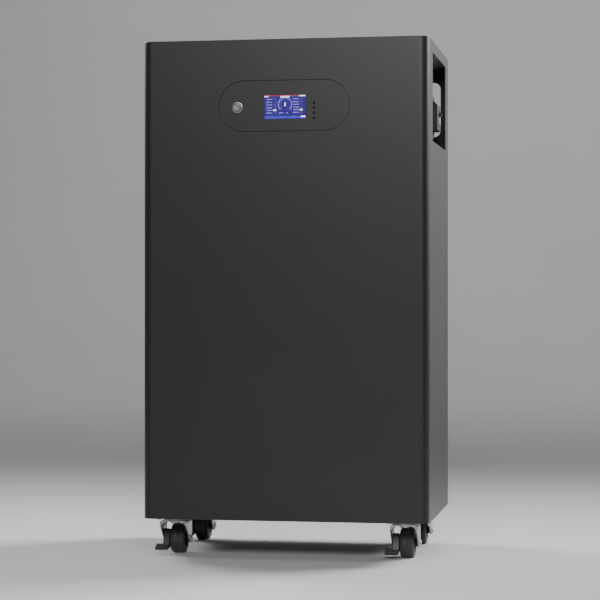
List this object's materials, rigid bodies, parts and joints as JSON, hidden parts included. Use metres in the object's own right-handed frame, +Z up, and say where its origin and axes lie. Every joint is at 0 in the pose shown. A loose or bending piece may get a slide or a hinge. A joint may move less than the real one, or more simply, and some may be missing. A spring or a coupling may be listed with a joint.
{
  "type": "server rack battery",
  "caption": "Floor-standing battery cabinet with a front display panel, a side pocket for its connections and braked swivel casters.",
  "frame": {"origin": "on the floor, under the middle of the cabinet", "axes": "+Z up, the display faces -Y, the connection pocket is on the +X side"},
  "size_m": [0.482, 0.3292, 0.866],
  "materials": {
    "powder_coat": "satin",
    "panel_coat": "satin",
    "plain_steel": "satin",
    "zinc_plate": "satin",
    "button_metal": "satin",
    "pin_metal": "polished",
    "copper": "satin",
    "plate_aluminium": "satin",
    "cell_can": "satin",
    "spacer_sheet": "matte",
    "display_lit": "gloss",
    "display_glass": "gloss",
    "circuit_board": "satin",
    "black_plastic": "satin",
    "red_plastic": "satin",
    "white_plastic": "satin",
    "breaker_case": "satin",
    "toggle_plastic": "satin",
    "black_rubber": "matte",
    "black_screw": "satin",
    "cable_sheath": "satin",
    "wheel_tread": "satin",
    "pedal_black": "satin"
  },
  "bodies": {
    "cabinet": {"front_shell": "powder_coat", "top_lid": "powder_coat", "base_tray": "powder_coat", "rear_panel": "powder_coat", "io_tray": "powder_coat", "grip_tray": "powder_coat", "bay_shelf": "plain_steel", "rear_grommets": "black_rubber", "housing_screws": "black_screw", "control_bezel": "panel_coat", "display_module": "display_lit", "display_lens": "display_glass", "power_button_body": "button_metal", "power_button_nut": "plain_steel", "control_board": "circuit_board", "breaker_body": "breaker_case", "positive_terminals": "pin_metal", "negative_terminals": "pin_metal", "positive_bases": "red_plastic", "negative_bases": "black_plastic", "comm_ports": "black_plastic", "ground_stud": "pin_metal", "battery_cells": "cell_can", "cell_spacers": "spacer_sheet", "copper_busbars": "copper", "pack_end_plates": "plate_aluminium", "pack_tie_rods": "plain_steel", "pack_rails": "plain_steel", "bms_module": "plate_aluminium", "main_fuse": "white_plastic", "power_cables": "cable_sheath", "caster_top_plates": "zinc_plate", "caster_kingpins": "zinc_plate", "caster_bolts": "zinc_plate"},
    "power_button": {"power_button_cap": "button_metal"},
    "breaker_toggle_lever": {"breaker_toggle": "toggle_plastic"},
    "menu_key_1": {"nav_key_1": "black_plastic"},
    "menu_key_2": {"nav_key_2": "black_plastic"},
    "menu_key_3": {"nav_key_3": "black_plastic"},
    "menu_key_4": {"nav_key_4": "black_plastic"},
    "front_left_fork": {"caster_front_left_fork": "zinc_plate", "caster_front_left_axle": "zinc_plate"},
    "front_left_wheel": {"caster_front_left_wheel_hub": "black_plastic", "caster_front_left_tyre": "wheel_tread"},
    "front_left_brake": {"caster_front_left_brake_pedal": "pedal_black"},
    "front_right_fork": {"caster_front_right_fork": "zinc_plate", "caster_front_right_axle": "zinc_plate"},
    "front_right_wheel": {"caster_front_right_wheel_hub": "black_plastic", "caster_front_right_tyre": "wheel_tread"},
    "front_right_brake": {"caster_front_right_brake_pedal": "pedal_black"},
    "rear_left_fork": {"caster_rear_left_fork": "zinc_plate", "caster_rear_left_axle": "zinc_plate"},
    "rear_left_wheel": {"caster_rear_left_wheel_hub": "black_plastic", "caster_rear_left_tyre": "wheel_tread"},
    "rear_left_brake": {"caster_rear_left_brake_pedal": "pedal_black"},
    "rear_right_fork": {"caster_rear_right_fork": "zinc_plate", "caster_rear_right_axle": "zinc_plate"},
    "rear_right_wheel": {"caster_rear_right_wheel_hub": "black_plastic", "caster_rear_right_tyre": "wheel_tread"},
    "rear_right_brake": {"caster_rear_right_brake_pedal": "pedal_black"}
  },
  "joints": [
    {"name": "power_button_press", "type": "slide", "parent": "cabinet", "child": "power_button", "axis": [0, 1, 0], "range_m": [0, 0.002], "stiffness_N_per_m": 600},
    {"name": "breaker_switch", "type": "hinge", "parent": "cabinet", "child": "breaker_toggle_lever", "pos_m": [0.2235, 0.082, 0.752], "axis": [0, 1, 0], "range_deg": [0, 60]},
    {"name": "menu_key_1_press", "type": "slide", "parent": "cabinet", "child": "menu_key_1", "axis": [0, 1, 0], "range_m": [0, 0.0005], "stiffness_N_per_m": 300},
    {"name": "menu_key_2_press", "type": "slide", "parent": "cabinet", "child": "menu_key_2", "axis": [0, 1, 0], "range_m": [0, 0.0005], "stiffness_N_per_m": 300},
    {"name": "menu_key_3_press", "type": "slide", "parent": "cabinet", "child": "menu_key_3", "axis": [0, 1, 0], "range_m": [0, 0.0005], "stiffness_N_per_m": 300},
    {"name": "menu_key_4_press", "type": "slide", "parent": "cabinet", "child": "menu_key_4", "axis": [0, 1, 0], "range_m": [0, 0.0005], "stiffness_N_per_m": 300},
    {"name": "front_left_swivel", "type": "hinge", "parent": "cabinet", "child": "front_left_fork", "pos_m": [-0.2, -0.094, 0.06], "axis": [0, 0, 1], "continuous": true},
    {"name": "front_left_roll", "type": "hinge", "parent": "front_left_fork", "child": "front_left_wheel", "pos_m": [-0.197, -0.078, 0.025], "axis": [1, 0, 0], "continuous": true},
    {"name": "front_left_brake_release", "type": "hinge", "parent": "front_left_fork", "child": "front_left_brake", "pos_m": [-0.2, -0.078, 0.025], "axis": [-1, 0, 0], "range_deg": [0, 25]},
    {"name": "front_right_swivel", "type": "hinge", "parent": "cabinet", "child": "front_right_fork", "pos_m": [0.194, -0.094, 0.06], "axis": [0, 0, 1], "continuous": true},
    {"name": "front_right_roll", "type": "hinge", "parent": "front_right_fork", "child": "front_right_wheel", "pos_m": [0.197, -0.078, 0.025], "axis": [1, 0, 0], "continuous": true},
    {"name": "front_right_brake_release", "type": "hinge", "parent": "front_right_fork", "child": "front_right_brake", "pos_m": [0.194, -0.078, 0.025], "axis": [-1, 0, 0], "range_deg": [0, 25]},
    {"name": "rear_left_swivel", "type": "hinge", "parent": "cabinet", "child": "rear_left_fork", "pos_m": [-0.2, 0.094, 0.06], "axis": [0, 0, 1], "continuous": true},
    {"name": "rear_left_roll", "type": "hinge", "parent": "rear_left_fork", "child": "rear_left_wheel", "pos_m": [-0.197, 0.11, 0.025], "axis": [1, 0, 0], "continuous": true},
    {"name": "rear_left_brake_release", "type": "hinge", "parent": "rear_left_fork", "child": "rear_left_brake", "pos_m": [-0.2, 0.11, 0.025], "axis": [-1, 0, 0], "range_deg": [0, 25]},
    {"name": "rear_right_swivel", "type": "hinge", "parent": "cabinet", "child": "rear_right_fork", "pos_m": [0.194, 0.094, 0.06], "axis": [0, 0, 1], "continuous": true},
    {"name": "rear_right_roll", "type": "hinge", "parent": "rear_right_fork", "child": "rear_right_wheel", "pos_m": [0.197, 0.11, 0.025], "axis": [1, 0, 0], "continuous": true},
    {"name": "rear_right_brake_release", "type": "hinge", "parent": "rear_right_fork", "child": "rear_right_brake", "pos_m": [0.194, 0.11, 0.025], "axis": [-1, 0, 0], "range_deg": [0, 25]}
  ]
}
